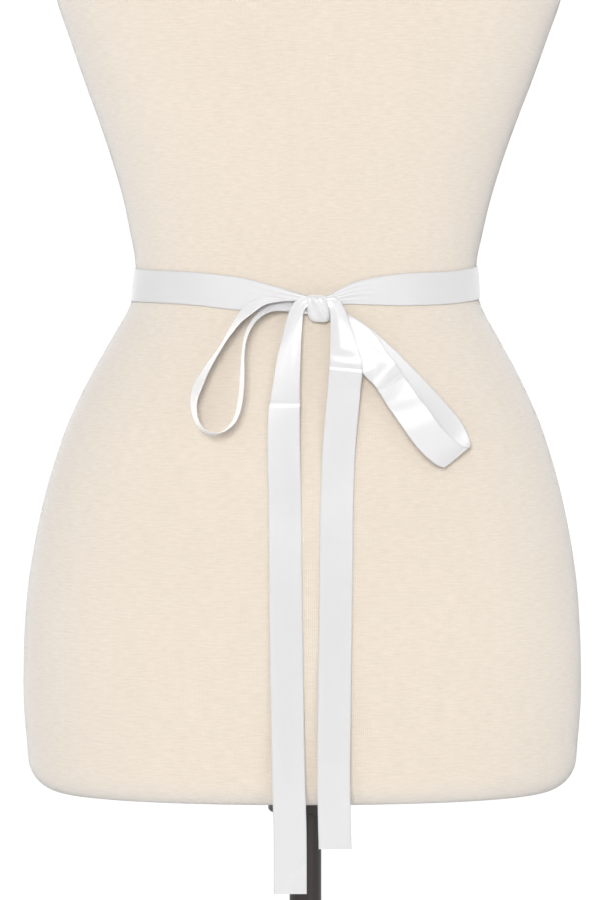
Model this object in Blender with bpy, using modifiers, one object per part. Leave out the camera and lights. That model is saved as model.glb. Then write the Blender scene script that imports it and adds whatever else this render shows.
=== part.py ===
"""A satin ribbon sash belt, tied in a bow at the back of a dress form on its stand.

Metres, +Z up. The stand rests on the floor at the origin, and the bow faces -Y.
Levels are heights above the waist. The bow's own tables are measured from the middle
of its knot, in millimetres and degrees, as it is seen from behind.
"""
import math
from collections import namedtuple

import bmesh
import bpy
from mathutils import Vector

# Dress form and stand
WAIST_HEIGHT = 1.060
HEM_ROUNDING = 0.022
NECK_ROUNDING = 0.010
FULLEST_LEVEL = -0.233
BUST_LEVEL = 0.180
BUST_REACH = 0.020
BUST_APART = 0.080
BUST_SPREAD = 0.052
BUST_ONSET = 3.0
HUB_RADIUS = 0.026
HUB_HEIGHT = 0.015
HUB_BEVEL = 0.003
POLE_RADIUS = 0.0111
BASE_RADIUS = 0.200
BASE_THICKNESS = 0.008
BASE_BEVEL = 0.002

# Ribbon
CLOTH = 0.001
SEAM_GAP = 0.0003
WAIST_STAND_OFF = 0.0007
SEAM_TRIM = 0.08
SIDE_SEAM = 90.0
KNOT_ANGLE = 3.3
KNOT_CENTRE = Vector((0.0083, 0.0, -0.0165))
KNOT_HALF_SIZE = Vector((0.0066, 0.0052, 0.0094))
KNOT_LIFT = 0.0074
KNOT_LEAN = -30.0
KNOT_TAPER = 0.22
KNOT_CREASE = 0.0007
KNOT_CREASE_WIDTH = 0.16
KNOT_CREASE_PLACES = (-0.42, 0.30)
MILLIMETRE = 0.001

# Fineness of the meshes
FORM_FACETS = 44
FORM_STEP_AT_WAIST = 0.008
FORM_STEP = 0.018
WAIST_ZONE = 0.040
WAIST_RIBBON_STEP = 5.0
LOOP_STEP = 0.006
TAIL_STEP = 0.012
ROUNDING_STEPS = 4
HUB_FACETS = 32
POLE_FACETS = 24
BASE_FACETS = 64
SHARP_ANGLE = 40.0

FormSection = namedtuple("FormSection", "level middle half_width back front squareness")
FORM_SECTIONS = [
    FormSection(-0.351, -0.0022, 0.1885, 0.1060, 0.0830, 2.20),
    FormSection(-0.317, -0.0022, 0.1912, 0.1088, 0.0860, 2.20),
    FormSection(-0.289, -0.0022, 0.1933, 0.1112, 0.0885, 2.20),
    FormSection(-0.261, -0.0022, 0.1933, 0.1133, 0.0905, 2.20),
    FormSection(-0.233, -0.0022, 0.1922, 0.1140, 0.0920, 2.20),
    FormSection(-0.205, -0.0020, 0.1898, 0.1132, 0.0928, 2.20),
    FormSection(-0.178, -0.0018, 0.1856, 0.1108, 0.0930, 2.18),
    FormSection(-0.150, -0.0016, 0.1798, 0.1075, 0.0925, 2.16),
    FormSection(-0.122, -0.0013, 0.1721, 0.1034, 0.0915, 2.15),
    FormSection(-0.094, -0.0010, 0.1624, 0.0984, 0.0905, 2.15),
    FormSection(-0.066, -0.0006, 0.1493, 0.0922, 0.0895, 2.15),
    FormSection(-0.039, -0.0003, 0.1345, 0.0852, 0.0885, 2.15),
    FormSection(-0.015, 0.0000, 0.1213, 0.0796, 0.0880, 2.15),
    FormSection(0.002, 0.0002, 0.1179, 0.0778, 0.0880, 2.15),
    FormSection(0.017, 0.0004, 0.1182, 0.0784, 0.0886, 2.15),
    FormSection(0.031, 0.0006, 0.1209, 0.0800, 0.0900, 2.15),
    FormSection(0.058, 0.0010, 0.1268, 0.0838, 0.0935, 2.15),
    FormSection(0.086, 0.0013, 0.1351, 0.0876, 0.0980, 2.18),
    FormSection(0.113, 0.0016, 0.1444, 0.0908, 0.1020, 2.20),
    FormSection(0.141, 0.0019, 0.1548, 0.0937, 0.1050, 2.22),
    FormSection(0.168, 0.0021, 0.1642, 0.0960, 0.1065, 2.25),
    FormSection(0.196, 0.0022, 0.1738, 0.0978, 0.1060, 2.30),
    FormSection(0.228, 0.0022, 0.1800, 0.0990, 0.1020, 2.35),
    FormSection(0.262, 0.0020, 0.1812, 0.0992, 0.0950, 2.40),
    FormSection(0.296, 0.0016, 0.1812, 0.0975, 0.0860, 2.40),
    FormSection(0.322, 0.0012, 0.1780, 0.0930, 0.0780, 2.35),
    FormSection(0.342, 0.0010, 0.1660, 0.0860, 0.0710, 2.30),
    FormSection(0.358, 0.0008, 0.1430, 0.0775, 0.0660, 2.20),
    FormSection(0.372, 0.0006, 0.1130, 0.0690, 0.0625, 2.10),
    FormSection(0.386, 0.0005, 0.0840, 0.0610, 0.0600, 2.00),
    FormSection(0.402, 0.0004, 0.0660, 0.0550, 0.0580, 2.00),
    FormSection(0.424, 0.0002, 0.0575, 0.0505, 0.0565, 2.00),
    FormSection(0.452, 0.0000, 0.0545, 0.0475, 0.0560, 2.00),
    FormSection(0.488, 0.0000, 0.0535, 0.0460, 0.0560, 2.00),
]

# The ribbon round the waist: degrees round from the middle of the back, and the level of its
# middle and its width in millimetres
WaistRow = namedtuple("WaistRow", "around level width")
WAIST_ROWS = [
    WaistRow(-180.0, 2.0, 22.0),
    WaistRow(-130.0, 1.4, 22.0),
    WaistRow(-90.0, -0.4, 22.0),
    WaistRow(-50.0, -2.1, 22.0),
    WaistRow(-35.0, -3.6, 22.0),
    WaistRow(-21.0, -6.4, 22.0),
    WaistRow(-13.5, -8.6, 19.5),
    WaistRow(-7.0, -10.6, 16.0),
    WaistRow(-1.5, -11.8, 11.0),
    WaistRow(3.3, -12.0, 7.0),
    WaistRow(6.8, -10.4, 7.0),
    WaistRow(10.0, -8.3, 10.5),
    WaistRow(14.5, -6.2, 15.0),
    WaistRow(21.0, -4.9, 18.5),
    WaistRow(29.0, -4.1, 21.0),
    WaistRow(38.0, -3.4, 22.0),
    WaistRow(53.0, -2.5, 22.0),
    WaistRow(90.0, 1.6, 22.0),
    WaistRow(130.0, 2.2, 22.0),
    WaistRow(180.0, 2.0, 22.0),
]

# A free stretch: the middle of the ribbon seen from behind, how far it stands off the form,
# where its width points as seen from behind, and how far that edge tips towards the viewer
RibbonRow = namedtuple("RibbonRow", "across rise lift lean tip width crown")
LEFT_LOOP_ROWS = [
    RibbonRow(-3.0, 4.0, 6.8, -92.0, 75.0, 4.5, 0.0),
    RibbonRow(-12.0, 5.6, 6.8, -92.0, 76.0, 5.5, 0.0),
    RibbonRow(-24.0, 5.8, 7.8, -92.0, 75.0, 9.0, 0.0),
    RibbonRow(-36.2, 4.6, 10.4, -75.0, 75.0, 16.5, 0.0),
    RibbonRow(-47.0, -1.3, 11.8, -50.0, 72.0, 21.0, 0.0),
    RibbonRow(-53.9, -8.4, 12.4, -20.0, 78.0, 22.0, 0.0),
    RibbonRow(-60.0, -17.5, 12.4, 2.0, 82.0, 22.0, 0.0),
    RibbonRow(-65.8, -27.0, 12.2, 8.0, 83.5, 22.0, 0.0),
    RibbonRow(-74.8, -41.0, 11.6, 12.0, 76.0, 22.0, 0.0),
    RibbonRow(-80.5, -52.0, 11.4, 8.0, 71.0, 22.0, 0.0),
    RibbonRow(-83.0, -62.5, 11.8, 18.0, 77.0, 22.0, 0.0),
    RibbonRow(-81.5, -73.5, 12.4, 35.0, 80.0, 22.0, 0.0),
    RibbonRow(-77.0, -80.5, 12.6, 58.0, 81.5, 22.0, 0.0),
    RibbonRow(-69.5, -83.5, 12.8, 75.0, 83.0, 22.0, 0.0),
    RibbonRow(-62.0, -81.0, 12.8, 30.0, 86.5, 22.0, 0.0),
    RibbonRow(-55.5, -74.0, 12.8, -15.0, 84.0, 22.0, 0.0),
    RibbonRow(-52.0, -62.0, 12.8, -10.0, 81.5, 22.0, 0.0),
    RibbonRow(-50.7, -46.0, 12.8, -4.0, 82.0, 22.0, 0.0),
    RibbonRow(-50.2, -31.5, 12.8, 0.0, 84.5, 22.0, 0.0),
    RibbonRow(-49.0, -21.5, 12.8, -8.0, 84.5, 22.0, 0.0),
    RibbonRow(-45.8, -12.5, 12.8, -25.0, 83.5, 21.0, 0.0),
    RibbonRow(-39.7, -4.4, 12.0, -45.0, 80.0, 18.5, 0.0),
    RibbonRow(-31.0, 0.9, 9.6, -66.0, 67.0, 13.5, 0.0),
    RibbonRow(-20.5, 1.4, 7.0, -80.0, 48.0, 9.5, 0.0),
    RibbonRow(-11.5, 0.0, 5.4, -84.0, 38.0, 8.0, 0.0),
    RibbonRow(-3.0, -1.4, 5.0, -86.0, 32.0, 6.5, 0.0),
]
RIGHT_LOOP_ROWS = [
    RibbonRow(3.0, 0.5, 6.6, 62.0, -10.0, 6.0, 0.0),
    RibbonRow(10.0, -2.5, 6.6, 56.0, -12.0, 8.0, 0.0),
    RibbonRow(16.5, -8.5, 6.4, 48.0, -16.0, 12.5, 0.0),
    RibbonRow(28.2, -21.2, 7.4, 42.0, -12.0, 20.0, 0.0),
    RibbonRow(38.4, -36.9, 9.4, 35.0, -12.0, 22.0, 0.0),
    RibbonRow(48.2, -48.9, 11.6, 36.0, -27.0, 22.0, 0.0),
    RibbonRow(57.5, -62.6, 14.2, 37.0, -20.0, 22.0, 0.0),
    RibbonRow(68.3, -77.9, 16.2, 37.0, -16.0, 22.0, 0.0),
    RibbonRow(77.8, -89.6, 16.0, 38.0, -16.0, 22.0, 0.0),
    RibbonRow(86.9, -97.3, 14.2, 38.0, -16.0, 22.0, 0.0),
    RibbonRow(92.3, -99.4, 10.6, 38.0, -17.0, 22.0, 0.0),
    RibbonRow(94.3, -97.4, 6.8, 39.0, -20.0, 22.0, 0.0),
    RibbonRow(92.2, -90.2, 4.2, 40.0, -22.0, 22.0, 0.0),
    RibbonRow(87.6, -81.2, 2.8, 40.0, -23.0, 22.0, 0.0),
    RibbonRow(78.0, -70.0, 2.2, 41.0, -22.0, 22.0, 0.0),
    RibbonRow(69.5, -60.8, 2.2, 42.0, -21.0, 22.0, 0.0),
    RibbonRow(58.4, -49.4, 2.2, 43.0, -20.0, 22.0, 0.0),
    RibbonRow(47.0, -37.5, 2.2, 44.0, -18.0, 21.5, 0.0),
    RibbonRow(33.5, -23.6, 2.4, 46.0, -16.0, 19.0, 0.0),
    RibbonRow(22.5, -12.6, 2.9, 50.0, -12.0, 14.0, 0.0),
    RibbonRow(13.0, -6.4, 3.6, 56.0, -10.0, 9.0, 0.0),
    RibbonRow(4.0, -3.0, 4.2, 60.0, -10.0, 6.0, 0.0),
]
LEFT_TAIL_ROWS = [
    RibbonRow(-3.0, 5.5, 10.0, -50.0, 0.0, 6.0, 0.0),
    RibbonRow(-9.0, 5.0, 11.6, -40.0, -4.0, 8.0, 0.3),
    RibbonRow(-13.1, 0.6, 12.2, -24.0, -12.0, 9.0, 0.5),
    RibbonRow(-15.2, -5.2, 11.6, -9.0, -10.0, 10.4, 0.5),
    RibbonRow(-17.5, -18.5, 9.8, 0.0, 12.0, 13.0, 0.4),
    RibbonRow(-19.5, -32.0, 8.8, 1.0, 21.0, 16.7, 0.3),
    RibbonRow(-21.2, -49.0, 8.0, 1.0, 23.0, 19.4, 0.2),
    RibbonRow(-22.6, -63.0, 7.4, 1.0, 19.0, 21.4, 0.0),
    RibbonRow(-23.0, -81.0, 4.9, 0.0, 13.0, 22.0, 0.0),
    RibbonRow(-22.8, -101.0, 3.0, 0.0, 7.0, 22.0, 0.0),
    RibbonRow(-22.2, -127.0, 1.7, 0.0, 1.0, 22.0, 0.0),
    RibbonRow(-21.6, -193.5, 1.5, 0.0, 0.0, 22.0, 0.0),
    RibbonRow(-20.7, -260.0, 1.5, 0.0, 0.0, 22.0, 0.0),
    RibbonRow(-19.7, -314.0, 1.5, 0.0, 0.0, 22.0, 0.0),
    RibbonRow(-18.8, -347.0, 1.5, 0.0, 0.0, 22.0, 0.0),
    RibbonRow(-18.6, -390.0, 1.5, 0.0, 0.0, 22.0, 0.0),
]
RIGHT_TAIL_ROWS = [
    RibbonRow(2.5, 4.0, 9.6, 72.0, 0.0, 6.0, 0.0),
    RibbonRow(9.2, 5.2, 12.0, 46.0, -3.0, 8.5, 0.3),
    RibbonRow(12.8, -1.0, 13.0, 18.0, -10.0, 10.0, 1.4),
    RibbonRow(14.8, -10.0, 13.0, 8.0, -14.0, 13.4, 1.8),
    RibbonRow(16.9, -24.5, 13.4, 3.0, -12.0, 17.8, 1.5),
    RibbonRow(18.4, -38.5, 14.0, -2.0, -5.0, 22.0, 0.3),
    RibbonRow(17.2, -54.5, 9.6, -1.0, 0.0, 22.0, 0.0),
    RibbonRow(15.4, -74.5, 5.6, -1.0, 0.0, 22.0, 0.0),
    RibbonRow(13.8, -94.0, 3.2, -1.0, 0.0, 22.0, 0.0),
    RibbonRow(12.5, -127.0, 1.8, 0.0, 0.0, 22.0, 0.0),
    RibbonRow(11.7, -193.5, 1.5, 0.0, 0.0, 22.0, 0.0),
    RibbonRow(10.8, -260.0, 1.5, 0.0, 0.0, 22.0, 0.0),
    RibbonRow(10.4, -314.0, 1.5, 0.0, 0.0, 22.0, 0.0),
    RibbonRow(10.9, -342.0, 1.5, 0.0, 0.0, 22.0, 0.0),
    RibbonRow(11.4, -360.0, 1.5, 0.0, 0.0, 22.0, 0.0),
]

UNDERSIDE_LEVEL = FORM_SECTIONS[0].level
NECK_TOP_LEVEL = FORM_SECTIONS[-1].level


# Tables read as smooth curves
def slope(keys, values, row):
    """Slope of a column at a row, taken between the rows on either side of it."""
    before, after = max(row - 1, 0), min(row + 1, len(keys) - 1)
    return (values[after] - values[before]) / (keys[after] - keys[before])


def smooth(keys, values, at):
    """Value of a column at a place between its rows, on a smooth curve through them."""
    row = 0
    while row < len(keys) - 2 and at > keys[row + 1]:
        row += 1
    span = keys[row + 1] - keys[row]
    t = min(max((at - keys[row]) / span, 0.0), 1.0)
    leaving = slope(keys, values, row) * span
    arriving = slope(keys, values, row + 1) * span
    ease = t * t * (3 - 2 * t)
    bulge = t * (1 - t) * (leaving * (1 - t) - arriving * t)
    return values[row] + (values[row + 1] - values[row]) * ease + bulge


def read_row(rows, keys, at):
    """A whole row of a table at a place between its rows."""
    return type(rows[0])(*(smooth(keys, column, at) for column in zip(*rows)))


# The dress form's surface
FORM_LEVELS = [section.level for section in FORM_SECTIONS]


def form_back(across, level):
    """How far the form's back lies behind the middle plane, at a place seen from behind."""
    section = read_row(FORM_SECTIONS, FORM_LEVELS, level)
    ratio = min(abs(across - section.middle) / section.half_width, 0.999)
    return section.back * (1 - ratio ** section.squareness) ** (1 / section.squareness)


def bust(across, level):
    """Fullness of the bust in front, the same on both sides."""
    height = (level - BUST_LEVEL) / BUST_SPREAD
    sideways = (abs(across) - BUST_APART) / BUST_SPREAD
    return BUST_REACH * math.exp(-height * height - sideways * sideways)


def form_point(around, level, out=0.0, inset=0.0):
    """Point of the form at degrees round from the middle of the back, moved out level."""
    section = read_row(FORM_SECTIONS, FORM_LEVELS, level)
    angle = math.radians(around)
    sine, cosine = math.sin(angle), math.cos(angle)
    power = 2 / section.squareness
    depth = section.back if cosine > 0 else section.front
    half_width, depth = section.half_width - inset, depth - inset
    x = math.copysign(half_width * abs(sine) ** power, sine)
    y = -math.copysign(depth * abs(cosine) ** power, cosine)
    if cosine < 0:
        y += bust(x, level) * min(1.0, -BUST_ONSET * cosine)
    normal = Vector((
        math.copysign(abs(x / half_width) ** (section.squareness - 1) / half_width, sine),
        -math.copysign(abs(y / depth) ** (section.squareness - 1) / depth, cosine),
        0.0)).normalized()
    return Vector((section.middle + x, y, WAIST_HEIGHT + level)) + normal * out


# Meshes from rings of points
def skin(rings, flat_section):
    """Closed mesh over rings of points. Its ends are flat strips or fans round a middle point."""
    mesh = bmesh.new()
    loops = [[mesh.verts.new(point) for point in ring] for ring in rings]
    count = len(loops[0])
    for lower, upper in zip(loops, loops[1:]):
        for i in range(count):
            j = (i + 1) % count
            mesh.faces.new((lower[i], lower[j], upper[j], upper[i]))
    for loop in (loops[0], loops[-1]):
        if flat_section:
            for i in range(count // 2 - 1):
                mesh.faces.new((loop[i], loop[i + 1], loop[count - 2 - i], loop[count - 1 - i]))
        else:
            middle = mesh.verts.new(sum((vert.co for vert in loop), Vector()) / count)
            for i in range(count):
                mesh.faces.new((loop[i], loop[(i + 1) % count], middle))
    bmesh.ops.recalc_face_normals(mesh, faces=mesh.faces)
    return mesh


def add_object(name, mesh, material, collection):
    """Object with this mesh, in this collection, smooth but for its sharp edges."""
    data = bpy.data.meshes.new(name)
    mesh.to_mesh(data)
    mesh.free()
    data.materials.append(material)
    data.shade_smooth()
    data.set_sharp_from_angle(angle=math.radians(SHARP_ANGLE))
    thing = bpy.data.objects.new(name, data)
    collection.objects.link(thing)
    return thing


def add_material(name, colour, roughness, metallic):
    material = bpy.data.materials.new(name)
    material.use_nodes = True
    shader = material.node_tree.nodes["Principled BSDF"]
    shader.inputs["Base Color"].default_value = (*colour, 1.0)
    shader.inputs["Roughness"].default_value = roughness
    shader.inputs["Metallic"].default_value = metallic
    material.diffuse_color = (*colour, 1.0)
    return material


# The dress form
def form_ring(level, inset=0.0):
    return [form_point(360.0 * i / FORM_FACETS, level, inset=inset) for i in range(FORM_FACETS)]


def rounded_rings(end_level, inward, radius):
    """Rings that round the form off at one end: +1 for its underside, -1 for its neck."""
    rings = []
    for step in range(ROUNDING_STEPS + 1):
        angle = math.radians(90.0 * step / ROUNDING_STEPS)
        level = end_level + inward * radius * (1 - math.cos(angle))
        rings.append(form_ring(level, inset=radius * (1 - math.sin(angle))))
    return rings


def dress_form(material, collection):
    rings = rounded_rings(UNDERSIDE_LEVEL, 1, HEM_ROUNDING)
    level = UNDERSIDE_LEVEL + HEM_ROUNDING
    last_level = NECK_TOP_LEVEL - NECK_ROUNDING
    while True:
        level += FORM_STEP_AT_WAIST if abs(level) < WAIST_ZONE else FORM_STEP
        if level > last_level - FORM_STEP_AT_WAIST:
            break
        rings.append(form_ring(level))
    rings += reversed(rounded_rings(NECK_TOP_LEVEL, -1, NECK_ROUNDING))
    return add_object("dress_form", skin(rings, False), material, collection)


# The stand
def disc(name, radius, bottom, top, bevel, facets, material, collection):
    """Upright round piece between two heights, with its rims rounded by the bevel."""
    bpy.ops.mesh.primitive_cylinder_add(
        vertices=facets, radius=radius, depth=top - bottom, location=(0, 0, (bottom + top) / 2))
    thing = bpy.context.object
    thing.name = thing.data.name = name
    for owner in thing.users_collection:
        owner.objects.unlink(thing)
    collection.objects.link(thing)
    if bevel:
        edge = thing.modifiers.new("Rounded edge", "BEVEL")
        edge.width = bevel
        edge.segments = 2
        edge.limit_method = "ANGLE"
    thing.data.materials.append(material)
    thing.data.shade_smooth()
    thing.data.set_sharp_from_angle(angle=math.radians(SHARP_ANGLE))
    return thing


def stand(material, collection):
    hub_top = WAIST_HEIGHT + UNDERSIDE_LEVEL - SEAM_GAP
    hub_bottom = hub_top - HUB_HEIGHT
    pole_bottom = BASE_THICKNESS + SEAM_GAP
    pole_top = hub_bottom - SEAM_GAP
    disc("form_hub", HUB_RADIUS, hub_bottom, hub_top, HUB_BEVEL, HUB_FACETS, material, collection)
    disc("stand_pole", POLE_RADIUS, pole_bottom, pole_top, 0.0, POLE_FACETS, material, collection)
    disc("stand_base", BASE_RADIUS, 0.0, BASE_THICKNESS, BASE_BEVEL, BASE_FACETS, material,
         collection)


# The ribbon
def waist_ring(around, keys):
    """Section of the waist ribbon: it spans straight from its lower edge to its upper edge."""
    row = read_row(WAIST_ROWS, keys, around)
    half_width = row.width / 2
    inner, outer = WAIST_STAND_OFF, WAIST_STAND_OFF + CLOTH
    corners = ((-half_width, inner), (half_width, inner), (half_width, outer), (-half_width, outer))
    return [form_point(around, (row.level + side) * MILLIMETRE, out) for side, out in corners]


def waist_stretch(name, start, end, material, collection):
    """Stretch of the waist ribbon between two angles, trimmed at its seams."""
    keys = [row.around for row in WAIST_ROWS]
    start, end = start + SEAM_TRIM, end - SEAM_TRIM
    steps = math.ceil((end - start) / WAIST_RIBBON_STEP)
    rings = []
    for i in range(steps + 1):
        around = start + (end - start) * i / steps
        around = around - 360.0 if around > 180.0 else around
        rings.append(waist_ring(around, keys))
    return add_object(name, skin(rings, True), material, collection)


def ribbon_place(row):
    """Middle of a free stretch at a row of its table. Below the fullest level it hangs plumb."""
    across = KNOT_CENTRE.x + row.across * MILLIMETRE
    level = KNOT_CENTRE.z + row.rise * MILLIMETRE
    behind = form_back(across, max(level, FULLEST_LEVEL)) + row.lift * MILLIMETRE
    return Vector((across, -behind, WAIST_HEIGHT + level))


def ribbon_width_direction(row):
    lean, tip = math.radians(row.lean), math.radians(row.tip)
    return Vector((math.cos(tip) * math.cos(lean), -math.sin(tip), math.cos(tip) * math.sin(lean)))


def ribbon_keys(rows):
    """Distance along a free stretch to each row of its table."""
    keys = [0.0]
    for before, after in zip(rows, rows[1:]):
        keys.append(keys[-1] + (ribbon_place(after) - ribbon_place(before)).length)
    return keys


def ribbon_stretch(name, rows, longest_step, points_across, material, collection):
    """Free stretch of ribbon as a wall of cloth along the smooth path of its table."""
    keys = ribbon_keys(rows)
    steps = math.ceil(keys[-1] / longest_step)
    stations = [read_row(rows, keys, keys[-1] * i / steps) for i in range(steps + 1)]
    places = [ribbon_place(row) for row in stations]
    rings = []
    for i, (row, place) in enumerate(zip(stations, places)):
        along = (places[min(i + 1, steps)] - places[max(i - 1, 0)]).normalized()
        width = ribbon_width_direction(row)
        outward = width.cross(along).normalized()
        faces = []
        for side in (-1, 1):
            face = []
            for j in range(points_across):
                share = 2 * j / (points_across - 1) - 1
                proud = row.crown * (1 - share * share) * MILLIMETRE + side * CLOTH / 2
                face.append(place + width * (share * row.width / 2 * MILLIMETRE) + outward * proud)
            faces.append(face)
        rings.append(faces[0] + faces[1][::-1])
    return add_object(name, skin(rings, True), material, collection)


def knot_mesh(clearance):
    """The knot's wrap: a soft nub with two creases that run down its front."""
    mesh = bmesh.new()
    bmesh.ops.create_uvsphere(mesh, u_segments=24, v_segments=14, radius=1.0)
    lean = math.radians(KNOT_LEAN)
    half = KNOT_HALF_SIZE + Vector((clearance, clearance, clearance))
    level = KNOT_CENTRE.z
    behind = form_back(KNOT_CENTRE.x, level) + KNOT_LIFT
    for vert in mesh.verts:
        unit = vert.co.copy()
        nearest = min(abs(unit.x - place) for place in KNOT_CREASE_PLACES)
        crease = math.exp(-(nearest / KNOT_CREASE_WIDTH) ** 2)
        unit *= 1 - crease * KNOT_CREASE / half.y * max(-unit.y, 0.0)
        x, y, z = unit.x * half.x * (1 - KNOT_TAPER * unit.z), unit.y * half.y, unit.z * half.z
        vert.co = (KNOT_CENTRE.x + x * math.cos(lean) + z * math.sin(lean),
                   y - behind,
                   WAIST_HEIGHT + level - x * math.sin(lean) + z * math.cos(lean))
    return mesh


def cut_clear_of(thing, cutter):
    """End a stretch at the knot, a seam gap clear of it."""
    cut = thing.modifiers.new("Clear of the knot", "BOOLEAN")
    cut.operation = "DIFFERENCE"
    cut.object = cutter


def bow(material, collection, cutters):
    add_object("bow_knot", knot_mesh(0.0), material, collection)
    clearance = add_object("knot_clearance", knot_mesh(SEAM_GAP), material, cutters)
    clearance.hide_render = True
    clearance.display_type = "WIRE"
    stretches = [
        ("bow_loop_left", LEFT_LOOP_ROWS, LOOP_STEP, 3),
        ("bow_loop_right", RIGHT_LOOP_ROWS, LOOP_STEP, 3),
        ("tail_left", LEFT_TAIL_ROWS, TAIL_STEP, 5),
        ("tail_right", RIGHT_TAIL_ROWS, TAIL_STEP, 5),
    ]
    for name, rows, longest_step, points_across in stretches:
        thing = ribbon_stretch(name, rows, longest_step, points_across, material, collection)
        cut_clear_of(thing, clearance)


def sash(material, collection, cutters):
    waist_stretch("waist_left", -SIDE_SEAM, KNOT_ANGLE, material, collection)
    waist_stretch("waist_right", KNOT_ANGLE, SIDE_SEAM, material, collection)
    waist_stretch("waist_front", SIDE_SEAM, 360.0 - SIDE_SEAM, material, collection)
    bow(material, collection, cutters)


def clear_scene():
    for thing in list(bpy.data.objects):
        bpy.data.objects.remove(thing)


def new_collection(name):
    collection = bpy.data.collections.new(name)
    bpy.context.scene.collection.children.link(collection)
    return collection


def main():
    clear_scene()
    parts = new_collection("sash_belt_on_dress_form")
    cutters = new_collection("cutters")
    jersey = add_material("cream_jersey", (0.86, 0.79, 0.70), 0.9, 0.0)
    satin = add_material("white_satin", (0.88, 0.88, 0.88), 0.35, 0.0)
    metal = add_material("dark_metal", (0.035, 0.03, 0.028), 0.4, 0.8)
    dress_form(jersey, parts)
    stand(metal, parts)
    sash(satin, parts, cutters)


main()
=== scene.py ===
import math
from collections import namedtuple

import bmesh
import bpy
from bpy.props import FloatProperty, FloatVectorProperty, IntProperty, PointerProperty
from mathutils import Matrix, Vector


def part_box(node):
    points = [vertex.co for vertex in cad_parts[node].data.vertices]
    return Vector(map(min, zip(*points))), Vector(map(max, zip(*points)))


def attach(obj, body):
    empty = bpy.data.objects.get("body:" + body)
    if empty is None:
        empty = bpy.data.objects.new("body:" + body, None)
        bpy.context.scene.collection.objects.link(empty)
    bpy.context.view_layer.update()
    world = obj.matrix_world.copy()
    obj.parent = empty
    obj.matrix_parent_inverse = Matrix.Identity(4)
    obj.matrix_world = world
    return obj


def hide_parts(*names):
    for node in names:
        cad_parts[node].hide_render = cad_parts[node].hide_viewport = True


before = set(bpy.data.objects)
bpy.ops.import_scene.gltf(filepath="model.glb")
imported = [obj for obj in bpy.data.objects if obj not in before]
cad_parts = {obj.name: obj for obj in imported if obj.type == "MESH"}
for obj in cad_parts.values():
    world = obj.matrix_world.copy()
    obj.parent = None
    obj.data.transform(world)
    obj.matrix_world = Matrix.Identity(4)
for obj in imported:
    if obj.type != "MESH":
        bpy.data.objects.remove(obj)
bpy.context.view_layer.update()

bl_info = {
    "name": "Ribbon sash belt on a dress form",
    "version": (1, 0, 0),
    "blender": (4, 5, 0),
    "location": "View3D > Sidebar > Sash Belt",
    "description": "Builds a satin ribbon sash tied in a bow, its jersey dress form, stand and studio",
    "category": "Object",
}

# Dress form, in metres. Levels are heights above the waist.
WAIST_HEIGHT = 1.060
HEM_ROUNDING = 0.022
NECK_ROUNDING = 0.010
FULLEST_LEVEL = -0.233
BUST_LEVEL = 0.180
BUST_REACH = 0.020
BUST_APART = 0.080
BUST_SPREAD = 0.052
BUST_FADE = 3.0
SIDE_LIMIT = 0.999
FORM_AROUND = 200
RING_SAMPLES = 4 * FORM_AROUND
FORM_STEP = 0.0045
ROUNDING_STEPS = 14

# Stand: how much its rims are rounded, and facets around
RIM_MARGIN = 0.0005
RIM_STEPS = 6
HUB_ROUNDING = 0.0025
POLE_ROUNDING = 0.0004
HUB_FACETS = 96
POLE_FACETS = 64
FOOT_FACETS = 160

# Corners sharper than these, in degrees, stay sharp
CORNER_ANGLE = 40.0
RIBBON_CORNER_ANGLE = 50.0
ALL_SMOOTH = 180.0

# Ribbon and knot, in metres. The full width and the tables are in millimetres and degrees.
MILLIMETRE = 0.001
FULL_WIDTH = 22.0
WAIST_STAND_OFF = 0.0012
KNOT_ANGLE = 3.3
KNOT_CENTRE = Vector((0.0083, 0.0, -0.0165))
KNOT_HALF_SIZE = Vector((0.0074, 0.0052, 0.0090))
KNOT_LIFT = 0.0074
KNOT_TURN = 4.0
KNOT_SHEAR = -0.20
KNOT_SQUARE = 0.52
KNOT_FRONT_SQUARE = 0.9
KNOT_AROUND = 96
KNOT_ACROSS = 64
POINTS_ACROSS = 25
RIBBON_STEP = 0.0010
WAIST_STEPS = 560
WAIST_GATHERING = 0.55
LOOP_GATHERING = 0.6
TAIL_GATHERING = 0.25
GATHER_SHIFT = 0.15
GATHER_SPREAD = 0.12
WELD_DISTANCE = 0.00001
CORD_SIDES = 6
UV_NAME = "Cloth"
EDGE_MARK = "selvedge"

# Jersey knit: slubs round the form and up it, and the relief of its ribs and stitches
SLUBS_AROUND, SLUBS_UP = 110.0, 800.0
STITCH_LEAN = -0.9
RIB_HEIGHT, STITCH_HEIGHT, SLUB_HEIGHT = -0.6, 0.4, 0.6
# Painted shade: how much the knit's colour darkens in its hollows and lightens on its raised stitches
KNIT_HOLLOW_PAINTED_SHADE = 0.03
KNIT_DEPTH = 0.00025
# Painted shade and sheen: how soon the jersey's colour turns greyer and darker as its surface turns
# away from the view
TURNED_SHADE_SHEEN_BLEND = 0.38

# Satin weave: threads for each metre along the ribbon and across it
THREADS_ALONG, THREADS_ACROSS = 70.0, 2600.0

# Camera, lights and floor
CAMERA_PLACE = (-0.0038, -2.7, 1.06)
CAMERA_TILT_DOWN = 2.44
CAMERA_SENSOR = 36.0
CAMERA_LENS = 155.92
FLOOR_RADIUS = 3.0
FLOOR_THICKNESS = 0.01
FLOOR_FACETS = 96
SEEN_WHITE = 1.05
MIRRORED_WHITE = 0.8

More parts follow.
